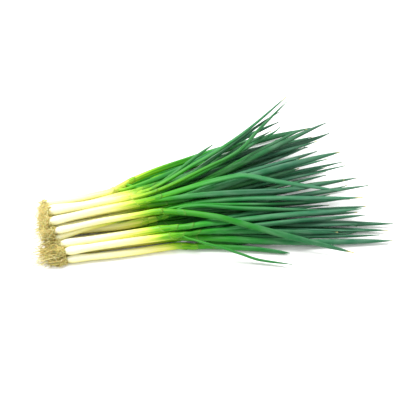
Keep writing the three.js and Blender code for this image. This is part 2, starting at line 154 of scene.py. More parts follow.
# Settling: strands are compared on planes this far apart, and pushed until they clear each other. The frame's
# stalks have FRAME_STALK_SIDES flat sides and lie on one of them.
PLANE_STEP = 8
PLANES = 55
CLEARANCE = 1.0
SAME_PLACE = 1e-6
SETTLE_ROUNDS = 1000
LOOSE_SHARE = 0.5
SAG_A_ROUND = 0.012
PINCH_A_ROUND = 0.008
PINCH_TO_X = 210
LOOSE_EASING = 0.996
LOOSE_STIFFNESS = 0.4
FIRM_STIFFNESS = 0.12
LEAF_LOWEST = 0.85
FRAME_STALK_SIDES = 8
PART_OVER = 90
JOIN_OVER = 40
NECK_BLEND = 12
NECK_ROUND_FOR = 30
LOWEST_POINT = 0.4

# How the plants differ in their looks: where the white ends, how dark the leaves are, and the painted shade
# on
# the stalks: those in the lower layers, and the undersides of all, are painted yellower and darker in place
# of the shade and bounced light between them. The stalks at a layer's sides get more light and so get less
# painted shade.
LOOK_SEED = 23
PALE_WANDER = 9
# Painted light and shade: plants further back stay white for longer and near ones turn green sooner.
PALER_FAR_PAINTED_LIGHT = 0.3
PALER_FAR_PAINTED_LIGHT_LIMITS = [-40, 45]
PLANT_TONE = 0.6
PAINTED_SHADE_BY_LAYER = [0.5, 0.32, 0.06, 0]
PAINTED_SHADE_AT_SIDES = 0.75
UNDERSIDE_PAINTED_SHADE = 0.6
UNDERSIDE_PAINTED_SHADE_FROM = 0.2
WHITE_BEFORE_NECK = 60
GREENING_LENGTH = 360

# The stalks: faint ribs, the edge of the outer sheath that laps round them, and their open, slanted mouths.
STALK_SIDES = 32
STALK_STEP = 2.4
PLATE_RINGS = [0, 0.5, 1.2]
STALK_RINGS_FROM = 2.2
RIB_COUNT = 11
RIB_DEPTH = 0.012
RIBS_FULL_AT = 20
LAP_HEIGHT = 0.16
LAP_TWIST = 0.9
LAP_RISE_OVER = 0.5
LAP_FALL_FROM = 1.2
LAP_FALL_OVER = 4
MOUTH_PAST_NECK = [7, 14]
MOUTH_FLARE = 0.25
MOUTH_SLANT = [3, 6.5]
MOUTH_SLANT_OVER = 26
MOUTH_LIP = 0.93
MOUTH_INSIDE = 0.86
MOUTH_DEPTH = 3
RIM_DRYNESS = 0.12
RIM_DRY_FROM = 3.5
RIM_DRY_OVER = 3

# The leaves: rings that are closer towards the tip, and what makes each one differ a little.
LEAF_SIDES = 20
LEAF_RINGS = 72
RINGS_TO_TIP = 1.25
LEAD_OVERLAP = 4
FORK_BLEND = 16
INSIDE_STALK = 0.15
TIP_HALF_WIDTH = 0.7
ANY_PHASE = 6
FLATNESS_WAVE = 0.06
FLATNESS_WAVES = 9
FLATNESS_WAVE_GROWS = 3
DENT_DEPTH = 0.5
DENT_FROM = 0.15
DENT_GROWS_OVER = 0.2
DENT_LEAST = 0.6
DENT_WAVES = 5
DENT_WIDTH = 0.55
LEAF_RIB_COUNT = 9
LEAF_RIB_DEPTH = 0.008
TWIST = 0.5
TWIST_FROM = 0.3
HOOKED_OR_NOT = [0, 0, 0, 1]
HOOK_SIZE = [2, 5]
HOOK_FROM = 0.93
HOOK_RISE = 0.6
DRY_TIP_LENGTH = [2, 5]
DRY_TIP_LONGER_BY = [0, 0, 0, 0, 0, 7]
DRY_TIP_EDGE = 0.7
DRY_TIP_SHARES = [0, 0, 0.6, 1]
LEAF_TONE = 0.35
LEAF_HUE = [-0.16, 0.08]
LEAF_HUE_OVER = 120
LATER_GREENER = 0.02

# The sheaths from whose mouths the later leaves come.
SHEATH_SIDES = 32
SHEATH_RINGS = 9
SHEATH_LENGTH = 14
SHEATH_PAST_FORK = [2, 8]
SHEATH_GAP = 0.25
SHEATH_SUNK = 0.3
SHEATH_SLANT = [2.5, 5]
SHEATH_WALL = 0.28
SHEATH_INSIDE = 0.85
SHEATH_RIM_DRY_FROM = 3
SHEATH_PALER = 0.006

# The fine roots: threads and thinner hairs from each root plate. Those on the near side are longer and drift
# to the left, and those on the far side are a little shorter.
MAT_COUNTS = [[2, 2, 2, 3], [2, 2, 2, 2], [2, 3], [2]]
ROOTS_LONGER_NEAR = 0.017
ROOTS_SHORTER_FAR = 0.004
ROOTS_DRIFT_NEAR = [-0.013, 0.006, 0]
THREADS_A_TUFT = 74
HAIRS_A_TUFT = 7
THREAD_RADIUS = 0.36
HAIR_RADIUS = 0.15
THREAD_STEPS = 18
THREAD_SIDES = 5
THREAD_LENGTH = [9, 24]
HAIR_LENGTH = [16, 28]
THREAD_INSET = 0.3
THREAD_SUNK = 0.6
THREAD_SPLAY = [0.4, 1.3]
THREAD_CURL = 0.4
THREAD_WIND = [0.3, 1.5]
THREAD_WANDER = 0.26
THREAD_SAG = [-0.05, 0, -0.05]
THREAD_THICKNESS = [0.6, 1.6]
THREAD_THINS_BY = 0.65
THREAD_UP = [0.31, 0.2, 0.93]
THREAD_GRAIN_STEP = 37
TUFT_REACH = 4.5
TUFT_PULL = 0.16
LEAST_REACH = 0.1

# Each strand's grain begins at a place of its own within this distance, so that no two look alike.
GRAIN_OFFSET = 40
GRAIN_UNIT = 100


def mix(a, b, t):
    return a + (b - a) * t


def smooth(t):
    s = np.clip(t, 0, 1)
    return s * s * (3 - 2 * s)


class Draws:
    """Seeded random numbers, the same as those that laid out the frame."""

    WORD = 0xFFFFFFFF

    def __init__(self, seed):
        self.state = seed

    def one(self):
        self.state = (self.state + 0x6D2B79F5) & self.WORD
        t = ((self.state ^ (self.state >> 15)) * (self.state | 1)) & self.WORD
        t = ((t + (t ^ (t >> 7)) * (t | 61)) & self.WORD) ^ t
        return (t ^ (t >> 14)) / (self.WORD + 1)

    def spread(self, size):
        return size * (2 * self.one() - 1)

    def between(self, low_high):
        low, high = low_high
        return low + (high - low) * self.one()


class Plant:
    """One spring onion: where its stalk begins, where its leaves part, and its leaves."""

    def __init__(self, layer, slot, draws):
        count = LAYER_COUNTS[layer]
        y = HEAP_MIDDLE + (slot - (count - 1) / 2) * STALK_PITCH
        z = BULB_RADIUS + layer * LAYER_RISE
        near = max(0, -y)
        far = max(0, y - FAR_FROM)
        self.size = draws.between(PLANT_SIZE)
        self.root_share = 1 + ROOTS_LONGER_NEAR * near - ROOTS_SHORTER_FAR * max(0, y)
        self.root_drift = near * np.array(ROOTS_DRIFT_NEAR)
        base_x = BASE_X + BASE_STAGGER * near + BASE_STAGGER_FAR * far + draws.spread(BASE_WANDER[0])
        base_y = y + BASE_SHIFTS.get((layer, slot), 0) + draws.spread(BASE_WANDER[1])
        self.base = np.array([base_x, base_y, z + draws.spread(BASE_WANDER[2])])
        shift_x, shift_y = NECK_SHIFTS.get((layer, slot), [0, 0])
        neck_x = NECK_X + NECK_STAGGER * near - NECK_STAGGER_FAR * far + shift_x
        neck_x += draws.spread(NECK_WANDER[0])
        neck_y = y * NECK_SPREAD + shift_y + draws.spread(NECK_WANDER[1])
        neck_z = z * NECK_LIFT + draws.spread(NECK_WANDER[2]) if layer else STALK_RADIUS
        self.neck = np.array([neck_x, neck_y, neck_z])
        self.bow = np.array([draws.spread(size) for size in STALK_BOW])
        self.place = (layer, slot)
        self.paths = LEAF_PATHS[layer][slot]
        self.leaves = []

    def grow(self, draws):
        lead = self.paths[0][-1]
        slope = (self.neck - self.base)[1:] / (self.neck - self.base)[0]
        for j in range(LEAVES_PER_PLANT):
            beside_x = lead[0] - draws.between(LATER_SHORTER)
            beside_y = mix(lead[1], FAN_MIDDLE, draws.between(LATER_INWARD)) + draws.spread(LATER_SIDE)
            beside_z = max(LOWEST_TIP, lead[2] + draws.spread(LATER_RISE))
            path = self.paths[j] if j < len(self.paths) else [[beside_x, beside_y, beside_z]]
            width = (LATER_HALF_WIDTH if j else LEAD_HALF_WIDTH) + draws.spread(HALF_WIDTH_SPREAD)
            width *= THIN_LEAVES.get((*self.place, j), 1)
            self.leaves.append(Leaf(self, j, path, slope, width, draws))


class Leaf:
    """One leaf: the points that it passes, its slope at the neck, and its width."""

    def __init__(self, plant, order, path, slope, half_width, draws):
        self.plant = plant
        self.order = order
        self.points = np.array([list(plant.neck), *path])
        self.slope = slope
        self.half_width = half_width
        self.roll = draws.spread(LEAF_ROLL)
        self.fork = plant.neck[0] + FORK_STEP * order
        self.tip_x = self.points[-1][0]

    def half_width_at(self, x):
        """Half the leaf's width: it keeps its width, then tapers to a point."""
        t = np.clip((x - self.plant.neck[0]) / (self.tip_x - self.plant.neck[0]), 0, 1)
        return self.half_width * (1 - t**LEAF_TAPER) ** LEAF_TIP_ROUND

    def curve(self, x):
        """The leaf's path as y and z over x: cubics whose end slopes are those of their neighbours."""
        points = self.points
        ahead = np.vstack([points[2:], points[-1:]])
        run = ahead - points[:-1]
        slopes = np.vstack([self.slope, run[:, 1:] / run[:, :1]])
        i = np.searchsorted(points[1:-1, 0], x, side="left")
        h = (points[i + 1, 0] - points[i, 0])[:, None]
        t = (x[:, None] - points[i, :1]) / h
        rise = points[i + 1, 1:] - points[i, 1:]
        c = 3 * rise - h * (2 * slopes[i] + slopes[i + 1])
        d = h * (slopes[i] + slopes[i + 1]) - 2 * rise
        return points[i, 1:] + t * (h * slopes[i] + t * (c + t * d))


def stalk_radius(along):
    """The stalk's radius by the distance from its base: root plate, slight bulb and straight stalk."""
    bulb = mix(PLATE_RADIUS, BULB_RADIUS, np.sin(np.clip(along / BULB_AT, 0, 1) * math.pi / 2))
    stalk = mix(BULB_RADIUS, STALK_RADIUS, smooth((along - BULB_AT) / (STALK_FROM - BULB_AT)))
    return np.where(along < BULB_AT, bulb, stalk)


class Strand:
    """What settles: a stalk with its leading leaf is one strand, and each later leaf hangs on that one."""

    def __init__(self, owner, leaf, trunk):
        plant = leaf.plant
        self.owner = owner
        self.plant = plant
        self.leaf = leaf
        self.trunk = trunk
        self.start = leaf.fork if trunk else plant.base[0]
        self.first = max(0, math.ceil(self.start / PLANE_STEP))
        self.last = min(PLANES - 1, math.floor(leaf.tip_x / PLANE_STEP))
        x = PLANE_STEP * np.arange(PLANES, dtype=float)
        past = x - plant.neck[0]
        up = np.clip(past / (plant.base[0] - plant.neck[0]), 0, 1)[:, None]
        stalk = plant.neck[1:] + leaf.slope * past[:, None] + plant.bow * np.sin(math.pi * up) ** 2
        self.at = np.where(past[:, None] < 0, stalk, leaf.curve(x))
        leafy = leaf.half_width_at(x)
        stalky = stalk_radius(x - plant.base[0]) * plant.size
        self.radius = leafy if trunk else mix(stalky, leafy, smooth(past / NECK_BLEND))
        around = np.clip(np.arange(-1, PLANES + 1), 0, PLANES - 1)
        steep = np.hypot(*(self.at[around[2:]] - self.at[around[:-2]]).T) / (2 * PLANE_STEP)
        self.radius = self.radius * np.sqrt(1 + steep**2)

    def place(self, x):
        """Where the settled strand is at each x: the planes' places, joined by smooth cubics."""
        u = np.clip(np.asarray(x, float) / PLANE_STEP, 0, PLANES - 1.001)
        k = np.floor(u).astype(int)
        t = (u - k)[:, None]

        def spot(i):
            return self.at[np.clip(i, 0, PLANES - 1)] + self.move[np.clip(i, self.first, self.last)]

        p, q, r, s = spot(k - 1), spot(k), spot(k + 1), spot(k + 2)
        yz = q + 0.5 * t * (r - p + t * (2 * p - 5 * q + 4 * r - s + t * (3 * (q - r) + s - p)))
        return np.column_stack([x, yz])


def lay_out():
    """The plants and their strands, as they lie before they settle."""
    draws = Draws(LAYOUT_SEED)
    plants = []
    for layer, count in enumerate(LAYER_COUNTS):
        plants += [Plant(layer, slot, draws) for slot in range(count)]
    strands = []
    for plant in plants:
        plant.grow(draws)
    for owner, plant in enumerate(plants):
        plant.strands = []
        for leaf in plant.leaves:
            trunk = plant.strands[0] if plant.strands else None
            plant.strands.append(Strand(owner, leaf, trunk))
        strands += plant.strands
    return plants, strands


def settle(strands):
    """Pushes the strands apart plane by plane, with smooth bends, until they clear each other."""
    count = len(strands)
    planes = np.arange(PLANES)
    at = np.array([s.at for s in strands])
    radius = np.array([s.radius for s in strands])
    first = np.array([s.first for s in strands])[:, None]
    last = np.array([s.last for s in strands])[:, None]
    start = np.array([s.start for s in strands])
    owner = np.array([s.owner for s in strands])
    neck_x = np.array([s.plant.neck[0] for s in strands])[:, None]
    trunk_of = np.array([strands.index(s.trunk) if s.trunk else -1 for s in strands])
    live = (planes >= first) & (planes <= last)
    before = np.maximum(planes - 1, first)
    after = np.minimum(planes + 1, last)
    rows = np.arange(count)[:, None]
    stalk_lowest = math.cos(math.pi / FRAME_STALK_SIDES)
    lowest = radius * np.where(PLANE_STEP * planes < neck_x, stalk_lowest, LEAF_LOWEST)
    pinch = (at[:, :, 0] < 0) * PINCH_A_ROUND * (PLANE_STEP * planes < PINCH_TO_X)
    free = smooth((PLANE_STEP * planes - start[:, None]) / JOIN_OVER)[:, :, None]
    later = trunk_of >= 0

    a, b = np.triu_indices(count, 1)
    fork = np.maximum(start[a], start[b])[:, None]
    parted = np.where((owner[a] == owner[b])[:, None], smooth((PLANE_STEP * planes - fork) / PART_OVER), 1)
    need = np.where(live[a] & live[b], (radius[a] + radius[b] + CLEARANCE) * parted, 0)

    def pushes(spots):
        y, z = spots[:, :, 0], spots[:, :, 1]
        dy, dz = y[a] - y[b], z[a] - z[b]
        gap = np.sqrt(dy * dy + dz * dz)
        pair, plane = np.nonzero(gap < need)
        gap, dy, dz, asked = gap[pair, plane], dy[pair, plane], dz[pair, plane], need[pair, plane]
        half = (asked - gap) / 2
        apart = gap > SAME_PLACE
        wide = np.where(apart, gap, 1)
        uy = np.where(apart, dy / wide, np.where(a[pair] % 2, 1.0, -1.0)) * half
        uz = np.where(apart, dz / wide, 0) * half
        cells = np.concatenate([a[pair] * PLANES + plane, b[pair] * PLANES + plane])
        total = [np.bincount(cells, np.concatenate([u, -u]), count * PLANES) for u in (uy, uz)]
        askers = np.bincount(cells, minlength=count * PLANES)
        push = np.stack(total, -1) / np.maximum(1, np.sqrt(askers))[:, None]
        return push.reshape(count, PLANES, 2)

    def finish_round(move, chosen):
        drop = lowest[chosen] - at[chosen, :, 1] - move[chosen, :, 1]
        move[chosen, :, 1] += np.where(live[chosen] & (drop > 0), drop, 0)

    move = np.zeros((count, PLANES, 2))
    for round_number in range(SETTLE_ROUNDS):
        loose = round_number < SETTLE_ROUNDS * LOOSE_SHARE
        easing, stiffness = (LOOSE_EASING, LOOSE_STIFFNESS) if loose else (1, FIRM_STIFFNESS)
        new = (move + pushes(at + move)) * easing
        if loose:
            new[:, :, 1] -= SAG_A_ROUND
            new[:, :, 0] += pinch
        move = np.where(live[:, :, None], new, move)
        for _ in range(2):
            middle = (move[rows, before] + move[rows, after]) / 2
            move = np.where(live[:, :, None], mix(move, middle, stiffness), move)
        finish_round(move, ~later)
        joined = mix(move[trunk_of[later]], move[later], free[later])
        move[later] = np.where(live[later][:, :, None], joined, move[later])
        finish_round(move, later)
    for strand, own in zip(strands, move):
        strand.move = own


class Skin:
    """Closed tubes gathered into one mesh, with the values at each corner that its material reads."""

    def __init__(self):
        self.points = []
        self.faces = []
        self.grain = []
        self.values = []
        self.count = 0

    def add(self, rings, grain, green, tone, dry, deep, first_end=None, last_end=None):
        """A tube through rings of corners (rings x sides x 3), closed by a fan to a point at each end."""
        number, sides = rings.shape[:2]
        first_end = rings[0].mean(0) if first_end is None else first_end
        last_end = rings[-1].mean(0) if last_end is None else last_end
        table = self.count + np.arange(number * sides).reshape(number, sides)
        turned = np.roll(table, -1, axis=1)
        quads = np.stack([table[:-1], turned[:-1], turned[1:], table[1:]], -1).reshape(-1, 4)
        start = self.count + number * sides
        self.faces += quads.tolist()
        self.faces += [[q, p, start] for p, q in zip(table[0].tolist(), turned[0].tolist())]
        self.faces += [[p, q, start + 1] for p, q in zip(table[-1].tolist(), turned[-1].tolist())]
        self.points += [rings.reshape(-1, 3), first_end[None], last_end[None]]
        self.grain += [grain.reshape(-1, 3), grain[0].mean(0)[None], grain[-1].mean(0)[None]]
        shape = (number, sides)
        values = np.stack([np.broadcast_to(v, shape) for v in (green, tone, dry, deep)], -1)
        kinds = values.shape[-1]
        self.values += [values.reshape(-1, kinds), values[0].mean(0)[None], values[-1].mean(0)[None]]
        self.count = start + 2

    def make(self, name, material, nodes):
        """The mesh as a piece that rides on the one body and stands for its CAD nodes."""
        points = (np.vstack(self.points) - [ORIGIN_X, ORIGIN_Y, 0]) * MM
        mesh = bpy.data.meshes.new(name)
        mesh.from_pydata(points.tolist(), [], self.faces)
        mesh.polygons.foreach_set("use_smooth", [True] * len(mesh.polygons))
        grain = mesh.attributes.new("grain", "FLOAT_VECTOR", "POINT")
        grain.data.foreach_set("vector", np.vstack(self.grain).ravel())
        values = np.vstack(self.values)
        # "deep" holds how much painted shade each corner gets.
        for i, label in enumerate(("green", "tone", "dry", "deep")):
            attribute = mesh.attributes.new(label, "FLOAT", "POINT")
            attribute.data.foreach_set("value", values[:, i].copy())
        mesh.materials.append(material)
        piece = bpy.data.objects.new(name, mesh)
        bpy.context.scene.collection.objects.link(piece)
        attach(piece, "root")
        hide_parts(*nodes)


def unit(v):
    return v / np.linalg.norm(v, axis=-1, keepdims=True)


def cut_at(place, x):
    """The directions along, across and up at each x of a path, for cuts square to it."""
    along = unit(place(x + 1) - place(x - 1))
    side = unit(np.column_stack([-along[:, 1], along[:, 0], np.zeros(len(x))]))
    return along, side, np.cross(along, side)


def angles(sides):
    return (np.arange(sides) + 0.5) / sides * 2 * math.pi


def above_table(rings):
    rings[:, :, 2] = np.maximum(rings[:, :, 2], 0)
    return rings


def swept(centres, side, up, across, deep, roll):
    """Rings of corners round a path, from each corner's offsets across and deep before its ring is rolled."""
    roll = np.asarray(roll).reshape(-1, 1)
    a = across * np.cos(roll) - deep * np.sin(roll)
    b = across * np.sin(roll) + deep * np.cos(roll)
    rings = centres[:, None] + side[:, None] * a[:, :, None] + up[:, None] * b[:, :, None]
    return above_table(rings)


def slanted(rings, direction, slant, theta, rng):
    """Rings moved along their path by an amount that changes round the section, highest at a random side."""
    shift = slant[:, None] * np.cos(theta - rng.uniform(0, 2 * math.pi))
    return above_table(rings + direction[:, None] * shift[:, :, None])


def with_mouth(rings, direction, lip_share, inside_share):
    """Rings with two more at their end: the rim of an open mouth, and the floor a little way inside it."""
    middle = rings[-1].mean(0)
    lip = mix(middle, rings[-1], lip_share)
    inside = mix(middle, rings[-1], inside_share) - direction[-1] * MOUTH_DEPTH
    return np.concatenate([rings, lip[None], inside[None]])


def grain_of(theta, along, rng):
    """Where each corner is on its strand: round the section, and along it in units of 100 mm."""
    offset = rng.uniform(-GRAIN_OFFSET, GRAIN_OFFSET, 2)
    across = np.stack([np.cos(theta), np.sin(theta)], -1) + offset
    lengthwise = np.broadcast_to(along[:, None], (len(along), len(theta))) / GRAIN_UNIT
    return np.dstack([np.broadcast_to(across[:, 0], lengthwise.shape),
                      np.broadcast_to(across[:, 1], lengthwise.shape), lengthwise])


def green_of(plant, x):
    """How far the colour has turned from the white base (0) to the green tips (1)."""
    return (x - plant.neck[0] - plant.pale + WHITE_BEFORE_NECK) / GREENING_LENGTH


def add_stalk(skin, plant, rng):
    """A white stalk: root plate, slight bulb and straight part, faintly ribbed, with a slanted open mouth."""
    trunk = plant.strands[0]
    mouth = rng.uniform(*MOUTH_PAST_NECK)
    length = plant.neck[0] + mouth - plant.base[0]
    steps = int(length / STALK_STEP)
    along = np.concatenate([PLATE_RINGS, np.linspace(STALK_RINGS_FROM, length, steps)])
    x = plant.base[0] + along
    centres = trunk.place(x)
    direction, side, up = cut_at(trunk.place, x)
    theta = angles(STALK_SIDES)
    phase = rng.uniform(0, 2 * math.pi)
    ribs = 1 + RIB_DEPTH * np.cos(RIB_COUNT * theta + phase) * smooth(along / RIBS_FULL_AT)[:, None]
    edge = (theta - phase - LAP_TWIST * along[:, None] / length) % (2 * math.pi)
    lap_fall = smooth((edge - LAP_FALL_FROM) / LAP_FALL_OVER)
    lap = LAP_HEIGHT * smooth(edge / LAP_RISE_OVER) * (1 - lap_fall)
    flare = MOUTH_FLARE * smooth((x - plant.neck[0]) / mouth)
    radius = plant.size * stalk_radius(along)[:, None] * ribs + lap + flare[:, None]
    rings = swept(centres, side, up, radius * np.cos(theta), radius * np.sin(theta), 0)
    slant = rng.uniform(*MOUTH_SLANT) * smooth((along - length + MOUTH_SLANT_OVER) / MOUTH_SLANT_OVER)
    rings = slanted(rings, direction, slant, theta, rng)
    rings = with_mouth(rings, direction, MOUTH_LIP, MOUTH_INSIDE)
    along = np.concatenate([along, [length, length]])
    dry = RIM_DRYNESS * smooth((along - length + RIM_DRY_FROM) / RIM_DRY_OVER)
    # Painted shade: undersides and stalks low in the heap are painted yellower and darker, in place of the
    # shade and bounced light among the stalks.
    deep = np.clip(plant.deep + UNDERSIDE_PAINTED_SHADE * (UNDERSIDE_PAINTED_SHADE_FROM - np.sin(theta)), 0, 1)
    green = green_of(plant, plant.base[0] + along)
    grain = grain_of(theta, along, rng)
    skin.add(rings, grain, green[:, None], plant.tone, dry[:, None], deep)


def add_leaf(skin, strand, rng):
    """One tubular leaf, from inside its stalk or the leaf it parts from to its pointed, often dry tip."""
    plant, leaf, trunk = strand.plant, strand.leaf, strand.trunk
    begin = leaf.fork - FORK_STEP if trunk else plant.neck[0] - LEAD_OVERLAP
    u = np.linspace(0, 1, LEAF_RINGS)
    x = mix(begin, leaf.tip_x, 1 - (1 - u) ** RINGS_TO_TIP)

    def place(where):
        own = strand.place(where)
        if not trunk:
            return own
        parted = smooth((where - leaf.fork + FORK_BLEND / 2) / FORK_BLEND)
        return mix(trunk.place(where), own, parted[:, None])

    centres = place(x)
    direction, side, up = cut_at(place, x)
    theta = angles(LEAF_SIDES)
    half = leaf.half_width_at(x)
    blunt = TIP_HALF_WIDTH * np.sqrt(np.clip((leaf.tip_x - x) / TIP_HALF_WIDTH, 0, 1))
    half = np.maximum(half, blunt)
    if trunk:
        half = half * mix(LEAF_START_SHARE, 1, smooth((x - leaf.fork) / JOIN_OVER))
        neck = np.zeros(len(x))
    else:
        neck = 1 - smooth((x - plant.neck[0]) / NECK_ROUND_FOR)
    stalk = STALK_RADIUS * plant.size - INSIDE_STALK
    wide = mix(half, stalk, neck)
    t = (x - begin) / (leaf.tip_x - begin)
    flat_wave = np.sin(FLATNESS_WAVES * t + rng.uniform(0, ANY_PHASE)) * smooth(FLATNESS_WAVE_GROWS * t)
    deep = mix(half * (LEAF_FLATNESS + FLATNESS_WAVE * flat_wave), stalk, neck)
    dent = rng.uniform(0, DENT_DEPTH) * smooth((t - DENT_FROM) / DENT_GROWS_OVER)
    dent_wave = np.sin(DENT_WAVES * t + rng.uniform(0, ANY_PHASE))
    dent = dent * (DENT_LEAST + (1 - DENT_LEAST) * dent_wave)
    from_top = (theta - math.pi / 2 + math.pi) % (2 * math.pi) - math.pi
    pressed = 1 - dent[:, None] * np.exp(-((from_top / DENT_WIDTH) ** 2))
    ribs = 1 + LEAF_RIB_DEPTH * np.cos(LEAF_RIB_COUNT * theta + rng.uniform(0, ANY_PHASE))
    twist = leaf.roll * (1 - neck)
    twist = twist + rng.uniform(-TWIST, TWIST) * smooth((t - TWIST_FROM) / (1 - TWIST_FROM))
    across = wide[:, None] * np.cos(theta) * ribs
    depth = deep[:, None] * np.sin(theta) * ribs * pressed
    hook = rng.choice(HOOKED_OR_NOT) * rng.uniform(*HOOK_SIZE)
    hook = hook * np.clip((t - HOOK_FROM) / (1 - HOOK_FROM), 0, 1) ** 2
    lean = rng.uniform(-1, 1)
    centres = centres + side * (hook * lean)[:, None] + up * (hook * (1 - abs(lean)) * HOOK_RISE)[:, None]
    rings = swept(centres, side, up, across, depth, twist)[:-1]
    tip = centres[-1]
    tip[2] = max(tip[2], LOWEST_POINT)
    dead = rng.uniform(*DRY_TIP_LENGTH) + rng.choice(DRY_TIP_LONGER_BY)
    dry = smooth((x - leaf.tip_x + dead) / (DRY_TIP_EDGE * dead)) * rng.choice(DRY_TIP_SHARES)
    tone = plant.tone + rng.uniform(-LEAF_TONE, LEAF_TONE)
    grain = grain_of(theta, x[:-1], rng)
    hue = rng.uniform(*LEAF_HUE) * smooth((x - leaf.fork) / LEAF_HUE_OVER)
    green = green_of(plant, x) + hue + LATER_GREENER * leaf.order
    skin.add(rings, grain, green[:-1, None], tone, dry[:-1, None], plant.deep, last_end=tip)


def add_sleeve(skin, strand, end, rng):
    """A thin sheath round a strand, open at its slanted mouth, from which the next leaf comes."""
    plant, leaf = strand.plant, strand.leaf
    begin = end - SHEATH_LENGTH
    x = np.linspace(begin, end, SHEATH_RINGS)
    centres = strand.place(x)
    direction, side, up = cut_at(strand.place, x)
    theta = angles(SHEATH_SIDES)
    neck = 1 - smooth((x - plant.neck[0]) / NECK_ROUND_FOR)
    half = leaf.half_width_at(x)
    grown = smooth((x - begin) / SHEATH_LENGTH)
    stalk = STALK_RADIUS * plant.size - INSIDE_STALK
    clear = mix(-SHEATH_SUNK, SHEATH_GAP, grown)
    wide = mix(half, stalk, neck) + clear
    deep = mix(half * LEAF_FLATNESS, stalk, neck) + clear
    across = wide[:, None] * np.cos(theta)
    depth = deep[:, None] * np.sin(theta)
    rings = swept(centres, side, up, across, depth, leaf.roll * (1 - neck))
    rings = slanted(rings, direction, rng.uniform(*SHEATH_SLANT) * grown, theta, rng)
    rings = with_mouth(rings, direction, 1 - SHEATH_WALL / STALK_RADIUS, SHEATH_INSIDE)
    x = np.concatenate([x, [end, end]])
    dry = RIM_DRYNESS * smooth((x - end + SHEATH_RIM_DRY_FROM) / RIM_DRY_OVER)
    green = green_of(plant, x) - SHEATH_PALER
    grain = grain_of(theta, x, rng)
    skin.add(rings, grain, green[:, None], plant.tone, dry[:, None], plant.deep)


def thread_paths(plant, count, lengths, thickness, rng):
    """The paths of one plant's roots: from its root plate they spread, curl and sag to the table."""
    angle = rng.uniform(0, 2 * math.pi, count)
    out = np.sqrt(rng.uniform(0, 1, count))
    radial = np.column_stack([np.zeros(count), np.cos(angle), np.sin(angle)])
    centre = plant.strands[0].place(np.array([plant.base[0]]))[0]
    plate = PLATE_RADIUS * plant.size - THREAD_INSET
    spot = centre + radial * (out * plate)[:, None] + [THREAD_SUNK, 0, 0]
    length = rng.uniform(*lengths, count) * plant.root_share
    step = (length / THREAD_STEPS)[:, None]
    splay = THREAD_SPLAY[0] + THREAD_SPLAY[1] * out
    heading = unit(radial * splay[:, None] + [-1.0, 0, 0])
    curl = unit(rng.normal(size=(count, 3)))
    wind = rng.uniform(*THREAD_WIND, count)[:, None] * rng.choice([-1, 1], count)[:, None]
    spots = [spot]
    for _ in range(THREAD_STEPS):
        off_axis = (spot - centre) * [0, 1, 1]
        reach = np.linalg.norm(off_axis, axis=1, keepdims=True)
        pull = np.clip(reach - TUFT_REACH * plant.size, 0, None) * TUFT_PULL
        wander = rng.normal(size=(count, 3)) * THREAD_WANDER
        heading = heading + THREAD_CURL * np.cross(curl, heading) * wind + wander
        heading = unit(heading - off_axis / np.maximum(reach, LEAST_REACH) * pull + THREAD_SAG)
        spot = spot + (heading + plant.root_drift) * step
        spot[:, 2] = np.maximum(spot[:, 2], thickness)
        spots.append(spot)
    return np.stack(spots, 1)


def add_threads(skin, plant, count, lengths, thickness, rng):
    """Roots of one plant, as thin tubes that taper to their ends."""
    path = thread_paths(plant, count, lengths, thickness, rng)
    along = unit(np.gradient(path, axis=1))
    side = unit(np.cross(along, THREAD_UP))
    up = np.cross(along, side)
    t = np.linspace(0, 1, THREAD_STEPS + 1)
    theta = angles(THREAD_SIDES)
    thick = thickness * rng.uniform(*THREAD_THICKNESS, count)
    for i in range(count):
        radius = (thick[i] * (1 - THREAD_THINS_BY * t**2))[:-1, None]
        across, deep = radius * np.cos(theta), radius * np.sin(theta)
        rings = swept(path[i, :-1], side[i, :-1], up[i, :-1], across, deep, 0)
        grain = grain_of(theta, GRAIN_UNIT * t[:-1] + THREAD_GRAIN_STEP * i, rng)
        skin.add(rings, grain, t[:-1, None], rng.uniform(-1, 1), 0.0, 0.0, last_end=path[i, -1])


